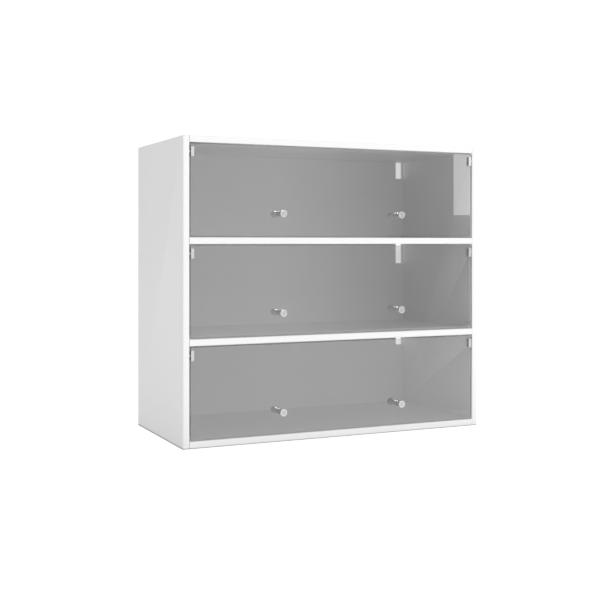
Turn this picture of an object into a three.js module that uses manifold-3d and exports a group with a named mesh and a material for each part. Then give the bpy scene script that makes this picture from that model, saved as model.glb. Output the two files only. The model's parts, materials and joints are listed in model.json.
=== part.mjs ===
// Bookcase with three bays behind lift-up glass doors.
// Millimetres, +Z up, +X to the right, the front faces -Y.
// The origin is the centre of the case's footprint, on the plane that it stands on.

import * as THREE from 'three';
import { mergeVertices } from 'three/addons/utils/BufferGeometryUtils.js';
import Module from 'manifold-3d';

const wasm = await Module();
wasm.setup();

// ---------------------------------------------------------------- driving dimensions

const CASE_WIDTH = 800;
const CASE_DEPTH = 370;
const CASE_HEIGHT = 720;
const BOARD = 16;
const BAY_NAMES = ['lower', 'middle', 'upper'];
const HANDS = [['left', -1], ['right', 1]];

const BACK_THICKNESS = 4;
const BACK_INSET = 10;
const GROOVE_DEPTH = 5;
const FIT_GAP = 0.3;
const NOTCH_WIDTH = 23;
const NOTCH_DROPS = { lower: 56, middle: 56, upper: 47 };

const GLASS_THICKNESS = 5;
const GLASS_GAP = 3;
const GLASS_RECESS = 3;
const GLASS_CORNER = 1.5;
const GLASS_ARRIS = 0.4;

const PIVOT_DROP = 21.5;
const CLAMP_WIDTH = 7.4;
const CLAMP_HEIGHT = 23;
const CLAMP_FRONT = 4.2;
const CLAMP_BACK = 4.5;
const CLAMP_CORNER = 1.2;
const WEB_WIDTH = 3.3;
const WEB_HEIGHT = 11.4;
const GRUB_RADIUS = 1.5;
const GRUB_KEY = 1.5;
const GRUB_POINT = 0.5;

const PIN_RADIUS = 2;
const PIN_REACH = 8;
const PIN_CHAMFER = 0.4;
const PRESS_GAP = 0.1;
const BUSH_CLEARANCE = 0.08;
const BUSH_RADIUS = 3.8;
const BUSH_LENGTH = 9;
const FLANGE_RADIUS = 4.6;
const FLANGE_THICKNESS = 0.6;

const PEG_RADIUS = 2.5;
const PEG_HEIGHT = 15;
const PEG_SUNK = 8;
const PEG_PROUD = 7;
const PEG_NOSE = 1.25;
const PEG_NOSE_STEPS = 3;

const KNOB_SPACING = 320;
const KNOB_HEIGHT = 56;
const KNOB_RADIUS = 9;
const KNOB_LENGTH = 30;
const KNOB_EDGE = 0.7;
// The knob's flare as [radius, distance from the glass], from the rim to the foot.
const KNOB_FLARE = [[9, 27.5], [8.3, 24], [7.6, 19], [7.15, 13], [7, 8]];
const KNOB_FOOT_RADIUS = 7;
const SCREW_RADIUS = 2;
const SCREW_HOLE_DEPTH = 12;
const SCREW_END_GAP = 1;
const HEAD_RADIUS = 4;
const HEAD_HEIGHT = 2.3;
const HEAD_SHOULDER = [3.2, 2.07];
const HEAD_EDGE_HEIGHT = 1.15;
const HEAD_TOP_RADIUS = 2;
const RECESS_LENGTH = 4.4;
const RECESS_WIDTH = 1;
const RECESS_DEPTH = 1.3;
const WASHER_RADIUS = 6;
const WASHER_THICKNESS = 1;

// Sides of the polygons that stand for circles.
const KNOB_SIDES = 24;
const FIT_SIDES = 16;
const SMALL_SIDES = 12;
const HEXAGON = 6;

// How far a cutter runs past the surface that it opens, and how close points are before they are one.
const CUTTER_MARGIN = 1;
const WELD_DISTANCE = 1e-4;

// ---------------------------------------------------------------- derived sizes

const HALF_WIDTH = CASE_WIDTH / 2;
const HALF_DEPTH = CASE_DEPTH / 2;
const INNER_HALF = HALF_WIDTH - BOARD;
const BAY_HEIGHT = (CASE_HEIGHT - BOARD * (BAY_NAMES.length + 1)) / BAY_NAMES.length;
const BAY_PITCH = BAY_HEIGHT + BOARD;

const BACK_REAR = HALF_DEPTH - BACK_INSET;
const BACK_FRONT = BACK_REAR - BACK_THICKNESS;
const BACK_TONGUE = GROOVE_DEPTH - FIT_GAP;

const GLASS_FRONT = -HALF_DEPTH + GLASS_RECESS;
const PIVOT_Y = GLASS_FRONT + GLASS_THICKNESS / 2;
const GLASS_HALF = INNER_HALF - GLASS_GAP;
const HALF_GLASS_THICKNESS = GLASS_THICKNESS / 2;
const GLASS_TOP = PIVOT_DROP - GLASS_GAP;
const GLASS_BOTTOM = PIVOT_DROP - BAY_HEIGHT + GLASS_GAP;
const KNOB_Z = PIVOT_DROP - BAY_HEIGHT + KNOB_HEIGHT;
const GRUB_OFFSET = (CLAMP_WIDTH + WEB_WIDTH) / 2;
const SCREW_HOLE_RADIUS = SCREW_RADIUS + 2 * FIT_GAP;
const PEG_Y = GLASS_FRONT + GLASS_THICKNESS + FIT_GAP + PEG_RADIUS;

// ---------------------------------------------------------------- materials

function finish(color, roughness, metalness, extra = {}) {
  return new THREE.MeshStandardMaterial({ color, roughness, metalness, ...extra });
}

const laminate = finish(0xf4f4f3, 0.45, 0);
const backBoard = finish(0xe9e9e8, 0.6, 0);
const tintedGlass = finish(0x8d9192, 0.05, 0, { transparent: true, opacity: 0.5 });
const satinMetal = finish(0xd3d4d5, 0.3, 1);
const chrome = finish(0xdcdddf, 0.12, 1);
const zincSteel = finish(0xb9bcc0, 0.35, 1);
const nylon = finish(0xf0f0ee, 0.5, 0);
const clearPlastic = finish(0xe6ecee, 0.2, 0, { transparent: true, opacity: 0.5 });

// ---------------------------------------------------------------- shape helpers

// Axis orders that turn an extrusion's own X, Y, Z into the case's axes.
const ALONG_X = new THREE.Matrix4().makeBasis(
  new THREE.Vector3(0, 1, 0), new THREE.Vector3(0, 0, 1), new THREE.Vector3(1, 0, 0));
const ALONG_Y = new THREE.Matrix4().makeBasis(
  new THREE.Vector3(0, 0, 1), new THREE.Vector3(1, 0, 0), new THREE.Vector3(0, 1, 0));

// Outline of straight edges from [x, y] points.
function outline(points) {
  return new THREE.Shape(points.map(([x, y]) => new THREE.Vector2(x, y)));
}

// Rectangle between two corners, with round corners of the given radius.
function roundedRectangle(x0, y0, x1, y1, radius) {
  const shape = new THREE.Shape();
  shape.moveTo(x0 + radius, y0);
  shape.lineTo(x1 - radius, y0);
  shape.absarc(x1 - radius, y0 + radius, radius, -Math.PI / 2, 0);
  shape.lineTo(x1, y1 - radius);
  shape.absarc(x1 - radius, y1 - radius, radius, 0, Math.PI / 2);
  shape.lineTo(x0 + radius, y1);
  shape.absarc(x0 + radius, y1 - radius, radius, Math.PI / 2, Math.PI);
  shape.lineTo(x0, y0 + radius);
  shape.absarc(x0 + radius, y0 + radius, radius, Math.PI, 1.5 * Math.PI);
  return shape;
}

// Straight extrusion of a shape from one station to another along its own Z.
function extrude(shape, from, to) {
  const geometry = new THREE.ExtrudeGeometry(shape, {
    depth: to - from,
    bevelEnabled: false,
    curveSegments: 2,
  });
  geometry.translate(0, 0, from);
  return geometry;
}

function box(low, high) {
  const size = high.map((value, axis) => value - low[axis]);
  const geometry = new THREE.BoxGeometry(...size);
  geometry.translate(...low.map((value, axis) => value + size[axis] / 2));
  return geometry;
}

// Round bar along X between two stations, centred on y and z.
function rodAlongX(radius, from, to, y, z, segments = SMALL_SIDES) {
  const geometry = new THREE.CylinderGeometry(radius, radius, to - from, segments);
  geometry.rotateZ(-Math.PI / 2);
  geometry.translate((from + to) / 2, y, z);
  return geometry;
}

// Round bar along Y between two stations, centred on x and z.
function rodAlongY(radius, from, to, x, z, segments = SMALL_SIDES) {
  const geometry = new THREE.CylinderGeometry(radius, radius, to - from, segments);
  geometry.translate(x, (from + to) / 2, z);
  return geometry;
}

// Turned piece about its own Y axis from [radius, station] points; stations rise along the outside.
function turned(points, segments) {
  return new THREE.LatheGeometry(points.map(([r, s]) => new THREE.Vector2(r, s)), segments);
}

// Closed geometry to solid and back, for cutting and joining.
function solid(geometry) {
  const bare = geometry.index ? geometry.toNonIndexed() : geometry.clone();
  bare.deleteAttribute('normal');
  bare.deleteAttribute('uv');
  const merged = mergeVertices(bare, WELD_DISTANCE);
  return new wasm.Manifold(new wasm.Mesh({
    numProp: 3,
    vertProperties: new Float32Array(merged.attributes.position.array),
    triVerts: new Uint32Array(merged.index.array),
  }));
}

function surface(manifold) {
  const mesh = manifold.getMesh();
  const positions = new Float32Array(mesh.vertProperties);
  const geometry = new THREE.BufferGeometry();
  geometry.setAttribute('position', new THREE.BufferAttribute(positions, 3));
  geometry.setIndex(new THREE.BufferAttribute(new Uint32Array(mesh.triVerts), 1));
  geometry.computeVertexNormals();
  return geometry;
}

function cut(body, cutters) {
  return surface(cutters.reduce((rest, cutter) => rest.subtract(solid(cutter)), solid(body)));
}

function addMesh(parent, name, geometry, material, position = [0, 0, 0], rotation = [0, 0, 0]) {
  const mesh = new THREE.Mesh(geometry, material);
  mesh.name = name;
  mesh.position.set(...position);
  mesh.rotation.set(...rotation);
  parent.add(mesh);
  return mesh;
}

// ---------------------------------------------------------------- case boards

// Heights in the case of one bay's floor, ceiling and door pivot.
function bayLevels(index) {
  const floor = BOARD + index * BAY_PITCH;
  const ceiling = floor + BAY_HEIGHT;
  return { floor, ceiling, pivot: ceiling - PIVOT_DROP };
}

// Right-hand side board in place, with a stopped groove for the backs and blind holes for bushes and pegs.
function rightSideBoard() {
  const board = box([INNER_HALF, -HALF_DEPTH, 0], [HALF_WIDTH, HALF_DEPTH, CASE_HEIGHT]);
  const mouth = INNER_HALF - CUTTER_MARGIN;
  const grooveEnd = BOARD - GROOVE_DEPTH;
  const groove = box(
    [mouth, BACK_FRONT - FIT_GAP, grooveEnd],
    [INNER_HALF + GROOVE_DEPTH, BACK_REAR + FIT_GAP, CASE_HEIGHT - grooveEnd],
  );
  const holes = [];
  BAY_NAMES.forEach((name, index) => {
    const { floor, pivot } = bayLevels(index);
    const bushEnd = INNER_HALF + BUSH_LENGTH + FIT_GAP;
    const pegEnd = INNER_HALF + PEG_SUNK + FIT_GAP;
    holes.push(rodAlongX(BUSH_RADIUS + FIT_GAP, mouth, bushEnd, PIVOT_Y, pivot, FIT_SIDES));
    holes.push(rodAlongX(PEG_RADIUS + FIT_GAP, mouth, pegEnd, PEG_Y, floor + PEG_HEIGHT));
  });
  return cut(board, [groove, ...holes]);
}

function mirroredInX(geometry) {
  return surface(solid(geometry).mirror([1, 0, 0]));
}

// Board that lies between the sides, with a back groove in its top face, its bottom face or both.
function levelBoard(groovedBelow, groovedAbove) {
  const grooveRear = BACK_REAR + FIT_GAP;
  const grooveFront = BACK_FRONT - FIT_GAP;
  const below = groovedBelow ? [
    [grooveFront, 0],
    [grooveFront, GROOVE_DEPTH],
    [grooveRear, GROOVE_DEPTH],
    [grooveRear, 0],
  ] : [];
  const above = groovedAbove ? [
    [grooveRear, BOARD],
    [grooveRear, BOARD - GROOVE_DEPTH],
    [grooveFront, BOARD - GROOVE_DEPTH],
    [grooveFront, BOARD],
  ] : [];
  const section = outline([
    [-HALF_DEPTH, 0],
    ...below,
    [HALF_DEPTH, 0],
    [HALF_DEPTH, BOARD],
    ...above,
    [-HALF_DEPTH, BOARD],
  ]);
  return extrude(section, -INNER_HALF, INNER_HALF).applyMatrix4(ALONG_X);
}

// Back board of one bay, standing on the bay's floor level, with both top corners notched.
function backBoardPanel(notchDrop) {
  const half = INNER_HALF + BACK_TONGUE;
  const top = BAY_HEIGHT + BACK_TONGUE;
  const notchX = INNER_HALF - NOTCH_WIDTH;
  const notchZ = BAY_HEIGHT - notchDrop;
  const panel = outline([
    [-BACK_TONGUE, -half],
    [notchZ, -half],
    [notchZ, -notchX],
    [top, -notchX],
    [top, notchX],
    [notchZ, notchX],
    [notchZ, half],
    [-BACK_TONGUE, half],
  ]);
  return extrude(panel, BACK_FRONT, BACK_REAR).applyMatrix4(ALONG_Y);
}

// ---------------------------------------------------------------- fittings in the case

// Flanged bush about X, its flange on the side board's inner face at x = 0, its body running to +X.
function pivotBush() {
  const bore = PIN_RADIUS + BUSH_CLEARANCE;
  const bush = turned([
    [bore, -FLANGE_THICKNESS],
    [bore, BUSH_LENGTH],
    [BUSH_RADIUS, BUSH_LENGTH],
    [BUSH_RADIUS, 0],
    [FLANGE_RADIUS, 0],
    [FLANGE_RADIUS, -FLANGE_THICKNESS],
    [bore, -FLANGE_THICKNESS],
  ].reverse(), FIT_SIDES);
  return bush.rotateZ(-Math.PI / 2);
}

// Round-nosed peg about X, sunk in the side board from x = 0 to +X and standing proud to -X.
function stopPeg() {
  const straight = PEG_PROUD - PEG_NOSE;
  const points = [[0, -PEG_PROUD]];
  for (let step = 1; step <= PEG_NOSE_STEPS; step += 1) {
    const angle = (step / PEG_NOSE_STEPS) * Math.PI / 2;
    points.push([PEG_RADIUS * Math.sin(angle), -straight - PEG_NOSE * Math.cos(angle)]);
  }
  points.push([PEG_RADIUS, PEG_SUNK], [0, PEG_SUNK]);
  return turned(points, SMALL_SIDES).rotateZ(-Math.PI / 2);
}

// ---------------------------------------------------------------- door pieces, about the pivot axis

// Pane with ground edges, edge cut-outs for the clamp webs and two knob holes.
function doorPane() {
  const low = GLASS_BOTTOM + GLASS_ARRIS;
  const high = GLASS_TOP - GLASS_ARRIS;
  const half = GLASS_HALF - GLASS_ARRIS;
  const sheet = new THREE.ExtrudeGeometry(roundedRectangle(low, -half, high, half, GLASS_CORNER), {
    depth: GLASS_THICKNESS - 2 * GLASS_ARRIS,
    bevelThickness: GLASS_ARRIS,
    bevelSize: GLASS_ARRIS,
    bevelSegments: 1,
    curveSegments: 2,
  });
  sheet.translate(0, 0, -HALF_GLASS_THICKNESS + GLASS_ARRIS);
  sheet.applyMatrix4(ALONG_Y);
  const through = HALF_GLASS_THICKNESS + CUTTER_MARGIN;
  const cutHalfHeight = WEB_HEIGHT / 2 + FIT_GAP;
  const cutInner = GLASS_HALF - WEB_WIDTH - FIT_GAP;
  const cutOuter = GLASS_HALF + CUTTER_MARGIN;
  const cutters = [-1, 1].flatMap((side) => [
    box(
      [side < 0 ? -cutOuter : cutInner, -through, -cutHalfHeight],
      [side < 0 ? -cutInner : cutOuter, through, cutHalfHeight],
    ),
    rodAlongY(SCREW_HOLE_RADIUS, -through, through, side * KNOB_SPACING / 2, KNOB_Z),
  ]);
  return cut(sheet, cutters);
}

// Right-hand clamp: x = 0 is the glass edge, the plates reach to -X over the glass.
function hingeClamp() {
  const front = -HALF_GLASS_THICKNESS - CLAMP_FRONT;
  const back = HALF_GLASS_THICKNESS + FIT_GAP + CLAMP_BACK;
  const half = CLAMP_HEIGHT / 2;
  const plate = roundedRectangle(-half, -CLAMP_WIDTH, half, 0, CLAMP_CORNER);
  const block = extrude(plate, front, back).applyMatrix4(ALONG_Y);
  const slotHalf = HALF_GLASS_THICKNESS + FIT_GAP;
  const webHalf = WEB_HEIGHT / 2;
  const outer = CUTTER_MARGIN;
  const inner = -WEB_WIDTH - CUTTER_MARGIN;
  const end = half + CUTTER_MARGIN;
  const cutters = [
    box([-CLAMP_WIDTH - CUTTER_MARGIN, -slotHalf, -end], [-WEB_WIDTH, slotHalf, end]),
    box([inner, -slotHalf, webHalf], [outer, slotHalf, end]),
    box([inner, -slotHalf, -end], [outer, slotHalf, -webHalf]),
    rodAlongX(PIN_RADIUS + PRESS_GAP, inner, outer, 0, 0, FIT_SIDES),
    rodAlongY(GRUB_RADIUS + FIT_GAP / 2, 0, back + CUTTER_MARGIN, -GRUB_OFFSET, 0),
  ];
  return cut(block, cutters);
}

// Right-hand pivot pin about X: from the clamp's web, over the gap and into the bush.
function pivotPin() {
  const inner = -WEB_WIDTH + PIN_CHAMFER;
  const end = GLASS_GAP + PIN_REACH;
  return turned([
    [0, inner],
    [PIN_RADIUS, inner],
    [PIN_RADIUS, end - PIN_CHAMFER],
    [PIN_RADIUS - PIN_CHAMFER, end],
    [0, end],
  ], FIT_SIDES).rotateZ(-Math.PI / 2);
}

// Grub screw about Y with a hexagon socket in its rear end, which is at y = 0.
function clampScrew() {
  const length = CLAMP_BACK - FIT_GAP;
  const screw = turned([
    [0, -length],
    [GRUB_RADIUS - GRUB_POINT, -length],
    [GRUB_RADIUS, -length + GRUB_POINT],
    [GRUB_RADIUS, 0],
    [0, 0],
  ], SMALL_SIDES);
  const cornerRadius = GRUB_KEY / Math.sqrt(3);
  return cut(screw, [rodAlongY(cornerRadius, -GRUB_KEY, CUTTER_MARGIN, 0, 0, HEXAGON)]);
}

// Flared knob turned about Y: foot at y = 0 on the glass, face at -KNOB_LENGTH, blind hole for the screw.
function knob() {
  const bore = SCREW_RADIUS + FIT_GAP;
  const face = -KNOB_LENGTH;
  const rim = KNOB_RADIUS - KNOB_EDGE;
  return turned([
    [0, face],
    [rim, face],
    [KNOB_RADIUS, face + KNOB_EDGE],
    ...KNOB_FLARE.map(([radius, reach]) => [radius, -reach]),
    [KNOB_FOOT_RADIUS, -KNOB_EDGE],
    [KNOB_FOOT_RADIUS - KNOB_EDGE, 0],
    [bore, 0],
    [bore, -SCREW_HOLE_DEPTH],
    [0, -SCREW_HOLE_DEPTH],
  ], KNOB_SIDES);
}

// Pan-head screw about Y: the underside of the head is at y = 0 and the shank runs to -Y.
function knobScrew() {
  const grip = GLASS_THICKNESS + FIT_GAP + WASHER_THICKNESS;
  const shank = grip + SCREW_HOLE_DEPTH - SCREW_END_GAP;
  const screw = turned([
    [0, -shank],
    [SCREW_RADIUS, -shank],
    [SCREW_RADIUS, 0],
    [HEAD_RADIUS, 0],
    [HEAD_RADIUS, HEAD_EDGE_HEIGHT],
    HEAD_SHOULDER,
    [HEAD_TOP_RADIUS, HEAD_HEIGHT],
    [0, HEAD_HEIGHT],
  ], SMALL_SIDES);
  const floor = HEAD_HEIGHT - RECESS_DEPTH;
  const above = HEAD_HEIGHT + CUTTER_MARGIN;
  const long = RECESS_LENGTH / 2;
  const short = RECESS_WIDTH / 2;
  return cut(screw, [
    box([-long, floor, -short], [long, above, short]),
    box([-short, floor, -long], [short, above, long]),
  ]);
}

function knobWasher() {
  const bore = SCREW_RADIUS + FIT_GAP;
  return turned([
    [bore, 0],
    [WASHER_RADIUS, 0],
    [WASHER_RADIUS, WASHER_THICKNESS],
    [bore, WASHER_THICKNESS],
    [bore, 0],
  ], SMALL_SIDES);
}

// ---------------------------------------------------------------- assembly

const bookcase = new THREE.Group();

// Turn of a fitting drawn for the right-hand side so that it fits the given side.
function handed(side) {
  return side < 0 ? [0, Math.PI, 0] : [0, 0, 0];
}

function buildCase() {
  const rightSide = rightSideBoard();
  addMesh(bookcase, 'right_side', rightSide, laminate);
  addMesh(bookcase, 'left_side', mirroredInX(rightSide), laminate);
  addMesh(bookcase, 'bottom_panel', levelBoard(false, true), laminate);
  addMesh(bookcase, 'lower_shelf', levelBoard(true, true), laminate, [0, 0, BAY_PITCH]);
  addMesh(bookcase, 'upper_shelf', levelBoard(true, true), laminate, [0, 0, 2 * BAY_PITCH]);
  addMesh(bookcase, 'top_panel', levelBoard(true, false), laminate, [0, 0, CASE_HEIGHT - BOARD]);
}

// What one bay adds to the case: its back board, and a bush and a peg in each side.
function buildBayFittings(name, levels) {
  const panel = backBoardPanel(NOTCH_DROPS[name]);
  addMesh(bookcase, `${name}_back_panel`, panel, backBoard, [0, 0, levels.floor]);
  HANDS.forEach(([hand, side]) => {
    const prefix = `${name}_${hand}`;
    const bushPlace = [side * INNER_HALF, PIVOT_Y, levels.pivot];
    const pegPlace = [side * INNER_HALF, PEG_Y, levels.floor + PEG_HEIGHT];
    addMesh(bookcase, `${prefix}_pivot_bush`, pivotBush(), nylon, bushPlace, handed(side));
    addMesh(bookcase, `${prefix}_stop_peg`, stopPeg(), clearPlastic, pegPlace, handed(side));
  });
}

// One door as a group whose origin is on its pivot axis.
function buildDoor(name, levels) {
  const door = new THREE.Group();
  door.position.set(0, PIVOT_Y, levels.pivot);
  bookcase.add(door);
  addMesh(door, `${name}_door_glass`, doorPane(), tintedGlass);
  const knobFoot = -HALF_GLASS_THICKNESS - PRESS_GAP;
  const washerFront = HALF_GLASS_THICKNESS + FIT_GAP;
  const screwSeat = washerFront + WASHER_THICKNESS + PRESS_GAP;
  const grubRear = washerFront + CLAMP_BACK;
  HANDS.forEach(([hand, side]) => {
    const prefix = `${name}_${hand}`;
    const edge = side * GLASS_HALF;
    const grubX = edge - side * GRUB_OFFSET;
    const knobX = side * KNOB_SPACING / 2;
    addMesh(door, `${prefix}_hinge_clamp`, hingeClamp(), satinMetal, [edge, 0, 0], handed(side));
    addMesh(door, `${prefix}_pivot_pin`, pivotPin(), zincSteel, [edge, 0, 0], handed(side));
    addMesh(door, `${prefix}_clamp_screw`, clampScrew(), zincSteel, [grubX, grubRear, 0]);
    addMesh(door, `${prefix}_knob`, knob(), chrome, [knobX, knobFoot, KNOB_Z]);
    addMesh(door, `${prefix}_knob_washer`, knobWasher(), nylon, [knobX, washerFront, KNOB_Z]);
    addMesh(door, `${prefix}_knob_screw`, knobScrew(), zincSteel, [knobX, screwSeat, KNOB_Z]);
  });
}

buildCase();
BAY_NAMES.forEach((name, index) => {
  const levels = bayLevels(index);
  buildBayFittings(name, levels);
  buildDoor(name, levels);
});

export default bookcase;
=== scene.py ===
"""Bookcase with three glass flap doors: looks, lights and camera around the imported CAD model.

Metres, in the model's own frame: +X to the right, the front faces -Y, +Z up, z = 0 under the case.
"""
import json
import math

import bmesh
import bpy
from mathutils import Matrix, Vector

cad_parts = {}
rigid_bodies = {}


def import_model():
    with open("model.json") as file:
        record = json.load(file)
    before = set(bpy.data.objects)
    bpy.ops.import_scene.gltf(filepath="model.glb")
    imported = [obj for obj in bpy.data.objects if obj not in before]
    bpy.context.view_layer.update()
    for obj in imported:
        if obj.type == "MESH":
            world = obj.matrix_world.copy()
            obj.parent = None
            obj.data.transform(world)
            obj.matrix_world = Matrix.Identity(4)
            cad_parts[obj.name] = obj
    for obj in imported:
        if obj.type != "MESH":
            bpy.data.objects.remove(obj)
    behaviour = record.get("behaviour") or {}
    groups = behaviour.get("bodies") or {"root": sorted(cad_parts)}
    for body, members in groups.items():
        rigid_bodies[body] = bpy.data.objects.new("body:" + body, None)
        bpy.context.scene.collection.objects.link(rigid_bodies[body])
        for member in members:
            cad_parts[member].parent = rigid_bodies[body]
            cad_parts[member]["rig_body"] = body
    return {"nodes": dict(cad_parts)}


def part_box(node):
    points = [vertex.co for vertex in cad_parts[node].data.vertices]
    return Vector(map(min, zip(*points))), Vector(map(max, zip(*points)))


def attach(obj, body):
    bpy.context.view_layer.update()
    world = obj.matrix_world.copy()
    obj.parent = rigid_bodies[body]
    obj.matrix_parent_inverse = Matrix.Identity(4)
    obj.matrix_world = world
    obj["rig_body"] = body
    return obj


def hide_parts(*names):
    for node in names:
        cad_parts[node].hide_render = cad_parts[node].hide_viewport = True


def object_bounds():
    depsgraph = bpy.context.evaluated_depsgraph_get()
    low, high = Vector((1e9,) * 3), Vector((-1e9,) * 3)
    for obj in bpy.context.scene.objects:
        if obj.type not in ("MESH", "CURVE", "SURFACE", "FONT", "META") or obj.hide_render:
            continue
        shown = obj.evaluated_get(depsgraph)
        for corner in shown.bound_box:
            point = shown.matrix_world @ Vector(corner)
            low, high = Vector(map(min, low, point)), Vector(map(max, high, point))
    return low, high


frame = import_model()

cad_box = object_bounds()
nodes = frame["nodes"]

MM = 0.001
BAYS = ("upper", "middle", "lower")
HANDS = (("left", -1.0), ("right", 1.0))
BOARDS = ("left_side", "right_side", "top_panel", "bottom_panel", "upper_shelf", "lower_shelf")
CASE_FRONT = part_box("left_side")[0].y

# ---------------------------------------------------------------- small node-tree helpers

WHITE_LIGHT = (1.0, 1.0, 1.0, 1.0)
NOISE_LOW, NOISE_HIGH = 0.3, 0.7  # the part of a noise's range that nearly all of it lies in


class Tree:
    """The node tree of a material or world, and short ways to add nodes to it."""

    def __init__(self, owner, output):
        owner.use_nodes = True
        self.owner = owner
        self.nodes = owner.node_tree.nodes
        self.links = owner.node_tree.links
        self.nodes.clear()
        self.output = self.nodes.new(output)
        self.coordinates = self.nodes.new("ShaderNodeTexCoord")

    def surface(self, shader):
        self.links.new(shader.outputs[0], self.output.inputs["Surface"])

    def set(self, node, inputs):
        """Gives sockets a value, or a link from another socket."""
        for key, value in inputs.items():
            if isinstance(value, bpy.types.NodeSocket):
                self.links.new(value, node.inputs[key])
            else:
                node.inputs[key].default_value = value

    def add(self, kind, inputs=(), **settings):
        node = self.nodes.new(kind)
        for name, value in settings.items():
            setattr(node, name, value)
        self.set(node, dict(inputs))
        return node

    def principled(self, **inputs):
        named = {name.replace("_", " "): value for name, value in inputs.items()}
        return self.add("ShaderNodeBsdfPrincipled", named)

    def mix(self, share, a, b):
        return self.add("ShaderNodeMixShader", {0: share, 1: a.outputs[0], 2: b.outputs[0]})

    def maths(self, operation, a, b=0.0):
        return self.add("ShaderNodeMath", {0: a, 1: b}, operation=operation).outputs[0]

    def noise(self, grain, stretch=None):
        """Noise in the object's own space; grain is its scale, detail and roughness."""
        scale, detail, roughness = grain
        vector = self.coordinates.outputs["Object"]
        if stretch is not None:
            vector = self.add(
                "ShaderNodeVectorMath", {0: vector, 1: stretch}, operation="MULTIPLY"
            ).outputs[0]
        return self.add(
            "ShaderNodeTexNoise",
            {"Vector": vector, "Scale": scale, "Detail": detail, "Roughness": roughness},
        ).outputs["Fac"]

    def ranged(self, value, low, high, to_low, to_high, smooth=False):
        node = self.add(
            "ShaderNodeMapRange",
            {"Value": value, "From Min": low, "From Max": high, "To Min": to_low, "To Max": to_high},
        )
        if smooth:
            node.interpolation_type = "SMOOTHSTEP"
        return node.outputs[0]

    def spread(self, noise, to_low, to_high):
        """A noise laid over a range."""
        return self.ranged(noise, NOISE_LOW, NOISE_HIGH, to_low, to_high)

    def varied(self, fine, fine_range, coarse, amount):
        """A fine noise over a range, plus a coarse one that shifts it both ways."""
        return self.maths("ADD", self.spread(fine, *fine_range), self.spread(coarse, -amount, amount))

    def tinted(self, colour, value):
        """A plain colour times a value around 1."""
        node = self.add("ShaderNodeVectorMath", {0: colour[:3], "Scale": value}, operation="SCALE")
        return node.outputs[0]

    def axes(self, output="Object"):
        return self.add("ShaderNodeSeparateXYZ", {0: self.coordinates.outputs[output]}).outputs

    def bump(self, height, distance, strength):
        return self.add(
            "ShaderNodeBump", {"Height": height, "Distance": distance, "Strength": strength}
        ).outputs[0]


def new_material(name):
    return Tree(bpy.data.materials.new(name), "ShaderNodeOutputMaterial")


def grey(value, warm):
    """A neutral colour, a little warmer by warm."""
    return (value * (1.0 + warm), value, value * (1.0 - warm), 1.0)


# ---------------------------------------------------------------- materials

# Grains: noise scale, detail and roughness.
PEARL = (1500.0, 2.0, 0.55)
MOTTLE = (45.0, 3.0, 0.6)
BROAD = (3.5, 2.0, 0.5)
FIBRE = (700.0, 4.0, 0.65)
PATCHES = (30.0, 3.0, 0.6)
SMEAR = (9.0, 3.0, 0.55)
DUST = (260.0, 2.0, 0.5)
HAZE = (900.0, 2.0, 0.5)
CLOUD = (160.0, 2.0, 0.5)
MOULDED = (2600.0, 2.0, 0.6)
METAL_DETAIL, METAL_ROUGHNESS = 3.0, 0.6

BAND_DEPTH = 3.0 * MM  # the front edge band, which ends in a fine glue line
LINE_CORE, LINE_EDGE = 0.05 * MM, 0.14 * MM
LINE_SHADE = 0.8
PLASTIC_IOR, NYLON_IOR = 1.45, 1.5


def laminate(name, tone):
    """Matt white melamine: a fine pearl grain, faint mottling, and the glue line behind the edge band."""
    t = new_material(name)
    pearl = t.noise(PEARL)
    mottle = t.noise(MOTTLE)
    broad = t.noise(BROAD)
    shade = t.varied(pearl, (0.992, 1.006), mottle, 0.006)
    shade = t.maths("ADD", shade, t.spread(broad, -0.005, 0.005))
    off = t.maths("ABSOLUTE", t.maths("SUBTRACT", t.axes()[1], CASE_FRONT + BAND_DEPTH))
    line = t.ranged(off, LINE_CORE, LINE_EDGE, LINE_SHADE, 1.0, smooth=True)
    t.surface(t.principled(
        IOR=PLASTIC_IOR,
        Base_Color=t.tinted(grey(tone, 0.001), t.maths("MULTIPLY", shade, line)),
        Roughness=t.varied(pearl, (0.38, 0.48), mottle, 0.03),
        Normal=t.bump(pearl, 0.03 * MM, 0.6),
    ))
    return t.owner


SCREEN_PITCH = 1.6 * MM


def hardboard(name, tone):
    """Thin painted hardboard: smooth lacquer in front, the pressed screen pattern behind."""
    t = new_material(name)
    fibre = t.noise(FIBRE)
    mottle = t.noise(PATCHES)
    shade = t.varied(fibre, (0.985, 1.01), mottle, 0.008)
    x, _, z = t.axes()
    pitch = 2.0 * math.pi / SCREEN_PITCH
    screen = t.maths(
        "MULTIPLY",
        t.maths("SINE", t.maths("MULTIPLY", x, pitch)),
        t.maths("SINE", t.maths("MULTIPLY", z, pitch)),
    )
    behind = t.ranged(t.axes("Normal")[1], 0.4, 0.6, 0.0, 0.5)
    height = t.maths("ADD", t.maths("MULTIPLY", screen, behind), fibre)
    t.surface(t.principled(
        IOR=PLASTIC_IOR,
        Base_Color=t.tinted(grey(tone, 0.002), shade),
        Roughness=t.spread(fibre, 0.45, 0.6),
        Normal=t.bump(height, 0.04 * MM, 0.6),
    ))
    return t.owner


MIRROR_SHARE = 0.22  # of a pane's front, looked at squarely
PANE_TINT = 0.734  # at each face, for what is seen through a pane
LIGHT_TINT = 0.755  # at each face, for light that falls through a pane
RIM_DEEP = (0.42, 0.45, 0.445, 1.0)
RIM_WITHIN = (0.9, 0.9, 0.9, 1.0)
RIM_GROUND = (0.56, 0.60, 0.59, 1.0)
RIM_GROUND_SHARE = 0.45
FACE_START, FACE_FULL = 0.5, 0.9  # how squarely a face looks along Y when it turns from rim to pane


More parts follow.
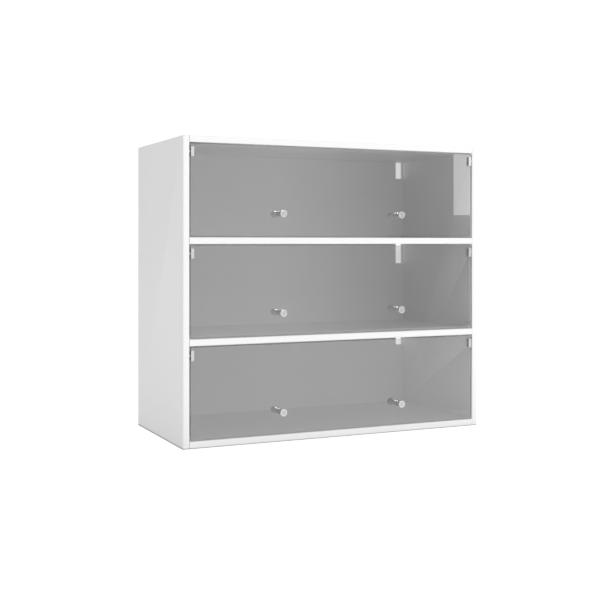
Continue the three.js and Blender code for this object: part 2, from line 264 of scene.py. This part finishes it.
def tinted_glass(name):
    """Grey glass: a tint at each face, a sharp mirror where light enters, and deeper, ground edges."""
    t = new_material(name)
    smear = t.noise(SMEAR)
    dust = t.noise(DUST)
    tint = t.maths("MULTIPLY", t.ranged(smear, 0.25, 0.75, 0.992, 1.004), PANE_TINT)
    clear = t.add("ShaderNodeBsdfTransparent", {"Color": t.tinted((1.0, 1.0, 1.0), tint)})
    mirror = t.add(
        "ShaderNodeBsdfGlossy",
        {"Color": (1.0, 1.0, 1.0, 1.0), "Roughness": t.ranged(dust, 0.35, 0.75, 0.0, 0.02)},
    )
    facing = t.add("ShaderNodeLayerWeight", {"Blend": 0.5}).outputs["Facing"]
    grazing = t.maths("POWER", facing, 5.0)
    share = t.maths("ADD", t.maths("MULTIPLY", grazing, 1.0 - MIRROR_SHARE), MIRROR_SHARE)
    leaving = t.add("ShaderNodeNewGeometry").outputs["Backfacing"]
    share = t.maths("MULTIPLY", share, t.maths("SUBTRACT", 1.0, leaving))
    face = t.mix(share, clear, mirror)
    deep = t.add("ShaderNodeBsdfTransparent", {"Color": RIM_DEEP})
    within = t.add("ShaderNodeBsdfTransparent", {"Color": RIM_WITHIN})
    ground = t.principled(Base_Color=RIM_GROUND, Roughness=t.spread(dust, 0.12, 0.3))
    rim = t.mix(leaving, t.mix(RIM_GROUND_SHARE, deep, ground), within)
    squarely = t.maths("ABSOLUTE", t.axes("Normal")[1])
    both = t.mix(t.ranged(squarely, FACE_START, FACE_FULL, 1.0, 0.0), face, rim)
    lit = t.add("ShaderNodeBsdfTransparent", {"Color": (LIGHT_TINT, LIGHT_TINT, LIGHT_TINT, 1.0)})
    path = t.add("ShaderNodeLightPath").outputs
    t.surface(t.mix(path["Is Shadow Ray"], t.mix(path["Is Diffuse Ray"], both, lit), lit))
    return t.owner


def clear_plastic(name):
    """Clear soft bumper: nearly invisible, with a soft shine."""
    t = new_material(name)
    clear = t.add("ShaderNodeBsdfTransparent", {"Color": (0.93, 0.94, 0.94, 1.0)})
    shine = t.principled(Base_Color=(0.75, 0.77, 0.77, 1.0), Roughness=t.spread(t.noise(HAZE), 0.12, 0.3))
    facing = t.add("ShaderNodeLayerWeight", {"Blend": 0.5}).outputs["Facing"]
    share = t.ranged(t.maths("POWER", facing, 2.5), 0.0, 1.0, 0.1, 0.6)
    t.surface(t.mix(share, clear, shine))
    return t.owner


def metal(name, tone, roughness, grain, grain_scale, relief, stretch=None):
    """Metal with fine grain in its roughness and relief."""
    t = new_material(name)
    fine = t.noise((grain_scale, METAL_DETAIL, METAL_ROUGHNESS), stretch)
    cloud = t.noise(CLOUD)
    t.surface(t.principled(
        Metallic=1.0,
        Base_Color=t.tinted(tone, t.varied(fine, (1.0 - grain, 1.0 + grain), cloud, 0.01)),
        Roughness=t.varied(fine, roughness, cloud, 0.015),
        Normal=t.bump(fine, relief, 0.5),
    ))
    return t.owner


def plastic(name, tone):
    """Moulded nylon with a fine matt texture."""
    t = new_material(name)
    fine = t.noise(MOULDED)
    t.surface(t.principled(
        IOR=NYLON_IOR,
        Base_Color=t.tinted(tone, t.spread(fine, 0.985, 1.01)),
        Roughness=t.spread(fine, 0.4, 0.55),
        Normal=t.bump(fine, 0.02 * MM, 0.5),
    ))
    return t.owner


ALONG_Z = (1.0, 1.0, 0.12)
WHITE = laminate("white_laminate", 0.82)
BACK = hardboard("back_laminate", 0.80)
GLASS = tinted_glass("tinted_glass")
CLEAR = clear_plastic("clear_plastic")
CHROME = metal("chrome", (0.62, 0.625, 0.63), (0.05, 0.09), 0.01, 3000.0, 0.002 * MM)
SPUN = metal("chrome_spun_face", (0.53, 0.535, 0.54), (0.18, 0.26), 0.03, 4200.0, 0.004 * MM)
SATIN = metal("satin_metal", (0.60, 0.605, 0.61), (0.24, 0.3), 0.02, 2600.0, 0.004 * MM, ALONG_Z)
ZINC = metal("zinc_steel", (0.56, 0.565, 0.58), (0.24, 0.38), 0.05, 1900.0, 0.006 * MM)
NYLON = plastic("nylon", (0.78, 0.78, 0.77))

# ---------------------------------------------------------------- backs and panes keep their CAD meshes

CAD_MERGE = 0.01 * MM  # the corners of an imported CAD mesh are split at this distance or less
BACK_EDGE = 0.25 * MM


def repaint(obj, material):
    for slot in obj.material_slots:
        slot.material = material


def round_edges(obj, width, segments, angle):
    bevel = obj.modifiers.new("round_edges", "BEVEL")
    bevel.width = width
    bevel.segments = segments
    bevel.limit_method = "ANGLE"
    bevel.angle_limit = math.radians(angle)


for bay in BAYS:
    back = nodes[f"{bay}_back_panel"]
    repaint(back, BACK)
    weld = back.modifiers.new("join_corners", "WELD")
    weld.merge_threshold = CAD_MERGE
    round_edges(back, width=BACK_EDGE, segments=1, angle=40.0)
    repaint(nodes[f"{bay}_door_glass"], GLASS)

# ---------------------------------------------------------------- mesh helpers for the fine pieces

MERGE = 0.0005 * MM
SHARP_ANGLE = 32.0
ROUND_SIDES = 96
SMALL_SIDES = 48
ROUNDED_SHARE = 0.49  # of a straight piece, the most that a rounded corner takes at each end
AXIS_X = Matrix.Rotation(-math.pi / 2.0, 4, "Z")


def finished(name, bm, material, place, node, extra=()):
    """Turns a bmesh into a smooth-shaded piece that stands for a CAD node and rides on its body."""
    bmesh.ops.remove_doubles(bm, verts=bm.verts, dist=MERGE)
    bmesh.ops.recalc_face_normals(bm, faces=bm.faces)
    mesh = bpy.data.meshes.new(name)
    bm.to_mesh(mesh)
    bm.free()
    for one in (material, *extra):
        mesh.materials.append(one)
    mesh.shade_smooth()
    mesh.set_sharp_from_angle(angle=math.radians(SHARP_ANGLE))
    mesh.transform(place)
    if place.determinant() < 0:
        mesh.flip_normals()
    obj = bpy.data.objects.new(name, mesh)
    bpy.context.scene.collection.objects.link(obj)
    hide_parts(node)
    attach(obj, nodes[node]["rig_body"])
    return obj


def lathe(profile, sides, material_of=None):
    """Turned body about Y from (radius, y) points; radius 0 closes an end."""
    bm = bmesh.new()
    rings = []
    for radius, y in profile:
        if radius <= 0.0:
            rings.append([bm.verts.new((0.0, y, 0.0))])
            continue
        ring = []
        for i in range(sides):
            angle = 2.0 * math.pi * i / sides
            ring.append(bm.verts.new((radius * math.cos(angle), y, radius * math.sin(angle))))
        rings.append(ring)
    for step, (a, b) in enumerate(zip(rings, rings[1:])):
        for i in range(sides):
            j = (i + 1) % sides
            if len(a) == 1:
                face = bm.faces.new((a[0], b[i], b[j]))
            elif len(b) == 1:
                face = bm.faces.new((a[i], b[0], a[j]))
            else:
                face = bm.faces.new((a[i], b[i], b[j], a[j]))
            if material_of is not None:
                face.material_index = material_of(step)
    return bm


def rounded(points, radii, steps):
    """An open (radius, y) polyline with its inner corners rounded by radii in mm, one for each point."""
    out = []
    for i, (p, r) in enumerate(zip(points, radii)):
        if r <= 0.0 or i == 0 or i == len(points) - 1:
            out.append(tuple(p))
            continue
        here, before, after = Vector(p), Vector(points[i - 1]), Vector(points[i + 1])
        to_before, to_after = (before - here).normalized(), (after - here).normalized()
        half = to_before.angle(to_after) / 2.0
        longest = min((before - here).length, (after - here).length) * ROUNDED_SHARE
        reach = min(r * MM / math.tan(half), longest)
        radius = reach * math.tan(half)
        centre = here + (to_before + to_after).normalized() * (radius / math.sin(half))
        start, end = here + to_before * reach - centre, here + to_after * reach - centre
        for k in range(steps + 1):
            turn = start.angle_signed(end) * (k / steps)
            c, s = math.cos(-turn), math.sin(-turn)
            out.append((centre.x + start.x * c - start.y * s, centre.y + start.x * s + start.y * c))
    return out


def block(low, high):
    bm = bmesh.new()
    bmesh.ops.create_cube(bm, size=1.0)
    for v in bm.verts:
        v.co = Vector(a if co < 0 else b for co, a, b in zip(v.co, low, high))
    return bm


def mesh_object(name, bm):
    bmesh.ops.recalc_face_normals(bm, faces=bm.faces)
    mesh = bpy.data.meshes.new(name)
    bm.to_mesh(mesh)
    bm.free()
    obj = bpy.data.objects.new(name, mesh)
    bpy.context.scene.collection.objects.link(obj)
    return obj


def combined(base, others, operation):
    """Boolean of meshes, returned as a bmesh; the working objects are removed."""
    target = mesh_object("work_base", base)
    tools = []
    for i, other in enumerate(others):
        tool = mesh_object(f"work_tool_{i}", other)
        tools.append(tool)
        modifier = target.modifiers.new(f"step_{i}", "BOOLEAN")
        modifier.operation = operation
        modifier.object = tool
        modifier.solver = "EXACT"
        modifier.use_self = True
    evaluated = target.evaluated_get(bpy.context.evaluated_depsgraph_get())
    bm = bmesh.new()
    bm.from_mesh(evaluated.to_mesh())
    evaluated.to_mesh_clear()
    for obj in (target, *tools):
        mesh = obj.data
        bpy.data.objects.remove(obj)
        bpy.data.meshes.remove(mesh)
    return bm


def at(x, y, z):
    return Matrix.Translation((x, y, z))


def sideways(low, high, side):
    """Places a turned body on its side, from a node's inner end outwards; side is -1 at the left."""
    inner = low.x if side > 0 else high.x
    centre = (low + high) / 2.0
    return at(inner, centre.y, centre.z) @ Matrix.Scale(side, 4, (1, 0, 0)) @ AXIS_X


# ---------------------------------------------------------------- knobs, washers and knob screws

KNOB_FOOT_RADIUS = 7.0 * MM
FLARE_START = 8.0 * MM  # from the glass
FLARE_END = 2.5 * MM  # from the front face
FLARE_STEPS = 14
HOLE_DEPTH = 12.0 * MM
SCREW_BORE = 2.3 * MM
DISH_RADIUS, DISH_DEPTH, DISH_RIM = 5.2 * MM, 0.1 * MM, 0.6 * MM
SPUN_RADIUS, SPUN_DEPTH = 5.25 * MM, 0.5 * MM


def knob_profile(radius, length):
    """Flared knob: from its blind hole, round the foot, to the middle of its front face at y = -length."""
    points = [(SCREW_BORE, -HOLE_DEPTH / 2.0), (SCREW_BORE, 0.0), (KNOB_FOOT_RADIUS, 0.0)]
    radii = [0, 0.3, 0.5]
    for k in range(FLARE_STEPS + 1):
        share = k / FLARE_STEPS
        y = FLARE_START + (length - FLARE_END - FLARE_START) * share
        points.append((KNOB_FOOT_RADIUS + (radius - KNOB_FOOT_RADIUS) * share * share, -y))
        radii.append(0)
    points += [
        (radius, -length),
        (DISH_RADIUS + DISH_RIM, -length),
        (DISH_RADIUS, -length + DISH_DEPTH * 0.5),
        (0.0, -length + DISH_DEPTH),
    ]
    radii += [0.8, 0.25, 0.25, 0]
    return [(0.0, -HOLE_DEPTH), (SCREW_BORE, -HOLE_DEPTH)] + rounded(points, radii, 5)


def make_knob(name):
    low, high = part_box(name)
    length = high.y - low.y
    profile = knob_profile((high.x - low.x) / 2.0, length)

    def face_kind(step):
        (r0, y0), (r1, y1) = profile[step], profile[step + 1]
        return int(max(r0, r1) <= SPUN_RADIUS and min(y0, y1) <= SPUN_DEPTH - length)

    bm = lathe(profile, ROUND_SIDES, face_kind)
    centre = (low + high) / 2.0
    finished(f"{name}_turned", bm, CHROME, at(centre.x, high.y, centre.z), name, (SPUN,))


def make_washer(name):
    low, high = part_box(name)
    centre = (low + high) / 2.0
    radius, thick, hole = (high.x - low.x) / 2.0, high.y - low.y, SCREW_BORE
    seam = (hole, thick / 2.0)
    ring = [seam, (hole, 0.0), (radius, 0.0), (radius, thick), (hole, thick), seam]
    bm = lathe(rounded(ring, [0, 0, 0.25, 0.25, 0, 0], 3), SMALL_SIDES)
    finished(f"{name}_round", bm, NYLON, at(centre.x, low.y, centre.z), name)


HEAD_RADIUS = 4.0 * MM
HEAD_CROWN = 0.62  # radius of the domed top, as a share of the head's
HEAD_HEIGHT = 2.3 * MM
SHANK_RADIUS = 2.0 * MM
SHANK_TIP = 0.5 * MM
THREAD_START, THREAD_PITCH, THREAD_DEPTH = 0.6 * MM, 0.7 * MM, 0.3 * MM
SHANK_PLAIN = 7.5 * MM
CROSS_LENGTH, CROSS_WIDTH, CROSS_DEPTH, CROSS_TAPER = 4.4 * MM, 0.95 * MM, 1.25 * MM, 0.62
CROSS_ABOVE = 0.3 * MM


def cross_cutter():
    """Cross recess as two tapered slots, to be taken out of a screw head."""
    bm = bmesh.new()
    for turn in (0.0, math.pi / 2.0):
        made = bmesh.ops.create_cube(bm, size=1.0)["verts"]
        for v in made:
            deep = v.co.y < 0.0
            x = v.co.x * CROSS_LENGTH * (CROSS_TAPER if deep else 1.0)
            y = HEAD_HEIGHT - CROSS_DEPTH if deep else HEAD_HEIGHT + CROSS_ABOVE
            v.co = Vector((x, y, v.co.z * CROSS_WIDTH))
        bmesh.ops.rotate(bm, verts=made, cent=(0, 0, 0), matrix=Matrix.Rotation(turn, 3, "Y"))
    return bm


def make_knob_screw(name):
    """Pan-head machine screw: domed head with a cross recess and a grooved shank."""
    low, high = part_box(name)
    centre = (low + high) / 2.0
    under_head = high.y - HEAD_HEIGHT
    shank = under_head - low.y
    r = SHANK_RADIUS
    body = [(0.0, -shank), (r - SHANK_TIP, -shank), (r, -shank + SHANK_TIP)]
    turns = int((shank - SHANK_PLAIN) / THREAD_PITCH)
    for i in range(turns):
        y = -shank + THREAD_START + i * THREAD_PITCH
        body += [(r, y), (r - THREAD_DEPTH, y + THREAD_PITCH * 0.5)]
    body += [(r, -shank + THREAD_START + turns * THREAD_PITCH), (r, 0.0)]
    head = [
        (r, 0.0),
        (HEAD_RADIUS, 0.0),
        (HEAD_RADIUS, HEAD_HEIGHT * 0.5),
        (HEAD_RADIUS * HEAD_CROWN, HEAD_HEIGHT),
        (0.0, HEAD_HEIGHT),
    ]
    bm = lathe(body + rounded(head, [0, 0.25, 0.9, 1.6, 0], 5)[1:], SMALL_SIDES)
    bmesh.ops.remove_doubles(bm, verts=bm.verts, dist=MERGE)
    cut = combined(bm, [cross_cutter()], "DIFFERENCE")
    finished(f"{name}_turned", cut, ZINC, at(centre.x, under_head, centre.z), name)


# ------------------------------------------------------------ clamps, pins, grub screws, bushes, pegs


def make_pin(name, side):
    low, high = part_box(name)
    radius, length = (high.z - low.z) / 2.0, high.x - low.x
    outline = [(0.0, 0.0), (radius, 0.0), (radius, length), (0.0, length)]
    bm = lathe(rounded(outline, [0, 0.35, 0.35, 0], 4), SMALL_SIDES)
    finished(f"{name}_round", bm, ZINC, sideways(low, high, side), name)


BUSH_FLANGE, BUSH_BODY, BUSH_BORE, BUSH_THICK = 4.4 * MM, 3.8 * MM, 2.08 * MM, 0.6 * MM


def make_bush(name, side):
    """Flanged nylon bush pressed in the side board."""
    low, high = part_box(name)
    length = high.x - low.x
    seam = (BUSH_BORE, length / 2.0)
    outline = [
        seam,
        (BUSH_BORE, 0.0),
        (BUSH_FLANGE, 0.0),
        (BUSH_FLANGE, BUSH_THICK),
        (BUSH_BODY, BUSH_THICK),
        (BUSH_BODY, length),
        (BUSH_BORE, length),
        seam,
    ]
    bm = lathe(rounded(outline, [0, 0.25, 0.25, 0, 0, 0.25, 0, 0], 3), SMALL_SIDES)
    finished(f"{name}_round", bm, NYLON, sideways(low, high, side), name)


PEG_NOSE = 1.25 * MM
PEG_STEPS = 8


def make_peg(name, side):
    """Clear stop peg with a domed nose."""
    low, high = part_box(name)
    radius, length = (high.z - low.z) / 2.0, high.x - low.x
    profile = [(0.0, 0.0)]
    for k in range(1, PEG_STEPS + 1):
        angle = k / PEG_STEPS * math.pi / 2.0
        profile.append((radius * math.sin(angle), PEG_NOSE * (1.0 - math.cos(angle))))
    profile += rounded([(radius, PEG_NOSE), (radius, length), (0.0, length)], [0, 0.4, 0], 3)[1:]
    bm = lathe(profile, SMALL_SIDES)
    finished(f"{name}_round", bm, CLEAR, sideways(low, high, side), name)


GRUB_POINT = 0.5 * MM
KEY_HALF = 0.75 * MM
KEY_DEPTH, KEY_SHOULDER = 1.5 * MM, 1.25 * MM
KEY_ABOVE = 0.5 * MM


def make_grub(name):
    """Grub screw with a hexagon socket in its rear end."""
    low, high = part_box(name)
    centre = (low + high) / 2.0
    radius, length = (high.x - low.x) / 2.0, high.y - low.y
    outline = [
        (0.0, -length),
        (radius - GRUB_POINT, -length),
        (radius, -length + GRUB_POINT),
        (radius, 0.0),
        (0.0, 0.0),
    ]
    bm = lathe(rounded(outline, [0, 0.15, 0.15, 0.25, 0], 3), SMALL_SIDES)
    bmesh.ops.remove_doubles(bm, verts=bm.verts, dist=MERGE)
    corner = KEY_HALF / math.cos(math.pi / 6.0)
    outline = [(0.0, -KEY_DEPTH), (corner, -KEY_SHOULDER), (corner, KEY_ABOVE), (0.0, KEY_ABOVE)]
    socket = lathe(outline, 6)
    cut = combined(bm, [socket], "DIFFERENCE")
    finished(f"{name}_round", cut, ZINC, at(centre.x, high.y, centre.z), name)


CLAMP_CORNER, CLAMP_CORNER_STEPS = 1.2 * MM, 6
CLAMP_EDGE = 0.3 * MM
CLAMP_GAP = 0.3 * MM  # between each plate and the glass
WEB_WIDTH, WEB_HALF = 3.3 * MM, 5.7 * MM
PIN_HOLE, GRUB_HOLE = 2.1 * MM, 1.65 * MM
PAST = 1.0 * MM  # how far a cutter reaches past what it cuts
GRUB_REACH = 9.0 * MM


def plate(width, height, y0, y1, corner):
    """Rounded plate from x = -width to 0, centred on z, between two y stations."""
    bm = bmesh.new()
    outline = []
    for cx, cz, begin in (
        (-corner, height / 2 - corner, 0.0),
        (-width + corner, height / 2 - corner, 90.0),
        (-width + corner, -height / 2 + corner, 180.0),
        (-corner, -height / 2 + corner, 270.0),
    ):
        for k in range(CLAMP_CORNER_STEPS + 1):
            angle = math.radians(begin + 90.0 * k / CLAMP_CORNER_STEPS)
            outline.append((cx + corner * math.cos(angle), cz + corner * math.sin(angle)))
    front = [bm.verts.new((x, y0, z)) for x, z in outline]
    rear = [bm.verts.new((x, y1, z)) for x, z in outline]
    bm.faces.new(front)
    bm.faces.new(list(reversed(rear)))
    for i in range(len(outline)):
        j = (i + 1) % len(outline)
        bm.faces.new((front[i], rear[i], rear[j], front[j]))
    return bm


def drill(radius, start, end, place):
    """A plain cylinder about Y, moved into place, to be cut out of something."""
    bm = lathe([(0.0, start), (radius, start), (radius, end), (0.0, end)], SMALL_SIDES)
    bm.transform(place)
    return bm


def make_clamp(name, side):
    """Glass clamp: two plates joined by a web at the glass edge, with pin and grub-screw holes."""
    low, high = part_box(name)
    width, height = high.x - low.x, high.z - low.z
    pane_low, pane_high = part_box(f"{name.split('_')[0]}_door_glass")
    front, rear = pane_low.y - CLAMP_GAP, pane_high.y + CLAMP_GAP
    middle = (front + rear) / 2.0
    end = height / 2.0 + PAST
    beside_web = (-WEB_WIDTH - PAST, PAST)
    spaces = (
        ((-width - PAST, -WEB_WIDTH), (-end, end)),
        (beside_web, (WEB_HALF, end)),
        (beside_web, (-end, -WEB_HALF)),
    )
    cutters = [block((x0, front, z0), (x1, rear, z1)) for (x0, x1), (z0, z1) in spaces]
    across = at(0.0, middle, 0.0) @ Matrix.Rotation(math.pi / 2.0, 4, "Z")
    cutters.append(drill(PIN_HOLE, -PAST, WEB_WIDTH + 2 * PAST, across))
    cutters.append(drill(GRUB_HOLE, 0.0, GRUB_REACH, at(-(width + WEB_WIDTH) / 2.0, middle, 0.0)))
    bm = combined(plate(width, height, low.y, high.y, CLAMP_CORNER), cutters, "DIFFERENCE")
    edge = high.x if side > 0 else low.x
    place = at(edge, 0.0, (low.z + high.z) / 2.0) @ Matrix.Scale(side, 4, (1, 0, 0))
    clamp = finished(f"{name}_body", bm, SATIN, place, name)
    round_edges(clamp, width=CLAMP_EDGE, segments=2, angle=50.0)


# ---------------------------------------------------------------- boards

EDGE_ROUND = 2.8 * MM
EDGE_SEGMENTS = 4
LEVEL_REACH = 10.0 * MM


def make_board(name):
    """The CAD board with its outer edges rounded; a level board keeps its square ends in the sides."""
    low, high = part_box(name)
    if high.x - low.x > high.z - low.z:
        reach = Vector((LEVEL_REACH, 0.0, 0.0))
        low, high = low - reach, high + reach
    soft = block(low, high)
    bmesh.ops.bevel(
        soft,
        geom=soft.edges[:],
        offset=EDGE_ROUND,
        segments=EDGE_SEGMENTS,
        profile=0.5,
        affect="EDGES",
    )
    board = bmesh.new()
    board.from_mesh(nodes[name].data)
    bmesh.ops.remove_doubles(board, verts=board.verts, dist=CAD_MERGE)
    made = combined(board, [soft], "INTERSECT")
    finished(f"{name}_rounded", made, WHITE, Matrix.Identity(4), name)


for board_name in BOARDS:
    make_board(board_name)
for bay in BAYS:
    for hand, side in HANDS:
        prefix = f"{bay}_{hand}"
        make_clamp(f"{prefix}_hinge_clamp", side)
        make_pin(f"{prefix}_pivot_pin", side)
        make_grub(f"{prefix}_clamp_screw")
        make_bush(f"{prefix}_pivot_bush", side)
        make_peg(f"{prefix}_stop_peg", side)
        make_knob(f"{prefix}_knob")
        make_washer(f"{prefix}_knob_washer")
        make_knob_screw(f"{prefix}_knob_screw")

# ---------------------------------------------------------------- floor, world, lamps and camera

FLOOR_SIZE = 60.0
FLOOR_FRONT = -2.95
FLOOR_BELOW = 0.2 * MM
FLOOR_NEAR, FLOOR_AHEAD = -0.14, -0.34  # Y of the step from the dim floor to the bright floor ahead, in the glow that only bounced light sees: painted light on the case from below, with painted shade near it
NEAR_GLOW, AHEAD_GLOW = 0.26, 0.6
SEEN_TONE, SEEN_GLOW = 0.35, 0.78
BOUNCE_TONE = 0.6
CONTACT = 1.2 * MM  # the floor's own light fades out this close to the case: a painted contact shadow


def floor_shade(t, tone, glow):
    return t.principled(
        Base_Color=(tone, tone, tone, 1.0),
        Roughness=0.8,
        Specular_IOR_Level=0.0,
        Emission_Color=WHITE_LIGHT,
        Emission_Strength=glow,
    )


def make_floor():
    """Pale floor: its front end comes before what the upper two doors mirror. Its glow is painted light on
    the case, dimmed near the case as painted shade, and cut out at its base as a painted contact shadow.
    """
    bm = bmesh.new()
    near, far = FLOOR_FRONT, FLOOR_FRONT + FLOOR_SIZE
    half = FLOOR_SIZE / 2.0
    corners = [(-half, near), (half, near), (half, far), (-half, far)]
    bm.faces.new([bm.verts.new((x, y, 0.0)) for x, y in corners])
    mesh = bpy.data.meshes.new("floor")
    bm.to_mesh(mesh)
    bm.free()
    floor = bpy.data.objects.new("floor", mesh)
    floor.location.z = cad_box[0].z - FLOOR_BELOW
    bpy.context.scene.collection.objects.link(floor)
    t = new_material("pale_floor")
    x, y, _ = t.axes()
    beside = t.maths("SUBTRACT", t.maths("ABSOLUTE", x), cad_box[1].x)
    before = t.maths("SUBTRACT", t.maths("ABSOLUTE", y), -CASE_FRONT)
    # Painted contact shadow: the floor's glow, both as seen and as bounced, fades out at the case's
    # footprint.
    clear_of_painted_shadow = t.ranged(t.maths("MAXIMUM", beside, before), 0.0, CONTACT, 0.0, 1.0, smooth=True)
    # Painted light and shade: for bounced light the floor glows dim near the case and bright ahead,
    # lighting the case from below.
    glow = t.ranged(y, FLOOR_NEAR, FLOOR_AHEAD, NEAR_GLOW, AHEAD_GLOW, smooth=True)
    seen = floor_shade(t, SEEN_TONE, t.maths("MULTIPLY", clear_of_painted_shadow, SEEN_GLOW))
    bounced = floor_shade(t, BOUNCE_TONE, t.maths("MULTIPLY", clear_of_painted_shadow, glow))
    t.surface(t.mix(t.add("ShaderNodeLightPath").outputs["Is Diffuse Ray"], seen, bounced))
    mesh.materials.append(t.owner)


WORLD_BASE = 0.81
WORLD_LEAN = (0.32, 0.0, 0.12)  # change of the light towards +X, +Y and +Z
WALL_AHEAD, WALL_RIGHT = 1.11, 0.73
WALL_TURN = (0.385, 0.52)  # X of the direction where the wall ahead passes into the one at its right
AHEAD_FADE = (-0.75, -0.6)  # Y of the direction where the wall ends
HEIGHT_FADE = (0.2, 0.4)  # Z of the direction where the wall ends
WHITE_BEHIND = 1.18


def make_world():
    """White studio: a gentle gradient, with a wall ahead that dims to its right. The camera sees white."""
    world = bpy.data.worlds.new("studio")
    bpy.context.scene.world = world
    t = Tree(world, "ShaderNodeOutputWorld")
    way = t.coordinates.outputs["Generated"]
    lean = t.add(
        "ShaderNodeVectorMath", {0: way, 1: WORLD_LEAN}, operation="DOT_PRODUCT"
    ).outputs["Value"]
    gradient = t.maths("ADD", lean, WORLD_BASE)
    x, y, z = t.axes("Generated")
    wall = t.ranged(x, *WALL_TURN, WALL_AHEAD, WALL_RIGHT, smooth=True)
    ahead = t.ranged(y, *AHEAD_FADE, 1.0, 0.0, smooth=True)
    low = t.ranged(z, *HEIGHT_FADE, 1.0, 0.0, smooth=True)
    window = t.maths("MULTIPLY", ahead, low)
    rest = t.maths("MULTIPLY", gradient, t.maths("SUBTRACT", 1.0, window))
    strength = t.maths("ADD", rest, t.maths("MULTIPLY", wall, window))
    light = t.add("ShaderNodeBackground", {"Color": WHITE_LIGHT, "Strength": strength})
    seen = t.add("ShaderNodeBackground", {"Color": WHITE_LIGHT, "Strength": WHITE_BEHIND})
    t.surface(t.mix(t.add("ShaderNodeLightPath").outputs["Is Camera Ray"], light, seen))


def softbox(name, centre, aim, width, height, radiance):
    data = bpy.data.lights.new(name, "AREA")
    data.shape = "RECTANGLE"
    data.size = width
    data.size_y = height
    data.energy = radiance * math.pi * width * height
    lamp = bpy.data.objects.new(name, data)
    lamp.location = centre
    lamp.rotation_mode = "QUATERNION"
    lamp.rotation_quaternion = (Vector(aim) - Vector(centre)).to_track_quat("-Z", "Y")
    lamp.visible_camera = False
    bpy.context.scene.collection.objects.link(lamp)


CAMERA_PLACE = (-1.1705, -2.5081, 0.4735)
CAMERA_AZIMUTH = -24.618
LENS, SENSOR, SHIFT = 63.9, 36.0, -0.0961
CLIP = (0.05, 200.0)


def make_camera():
    """The photo's camera, fitted to the case's corners: level, with its horizon shifted."""
    data = bpy.data.cameras.new("camera")
    data.sensor_width = SENSOR
    data.lens = LENS
    data.shift_y = SHIFT
    data.clip_start, data.clip_end = CLIP
    camera = bpy.data.objects.new("camera", data)
    camera.location = CAMERA_PLACE
    camera.rotation_euler = (math.radians(90.0), 0.0, math.radians(CAMERA_AZIMUTH))
    bpy.context.scene.collection.objects.link(camera)
    bpy.context.scene.camera = camera


make_floor()
make_world()
# The softbox on the right is mirrored in the upper door's right-hand end; its near lower corner sets
# that edge. The one in front makes the bright spots on the knobs, where they meet the glass.
softbox(
    "right_softbox",
    centre=(2.045, -1.734, 1.50),
    aim=(1.503, -0.894, 1.50),
    width=1.2,
    height=1.8,
    radiance=1.05,
)
softbox(
    "front_lamp",
    centre=(1.1, -8.2, 4.2),
    aim=(0.0, -0.2, 0.4),
    width=1.8,
    height=1.65,
    radiance=9.4,
)
make_camera()
bpy.context.scene.view_settings.view_transform = "Standard"
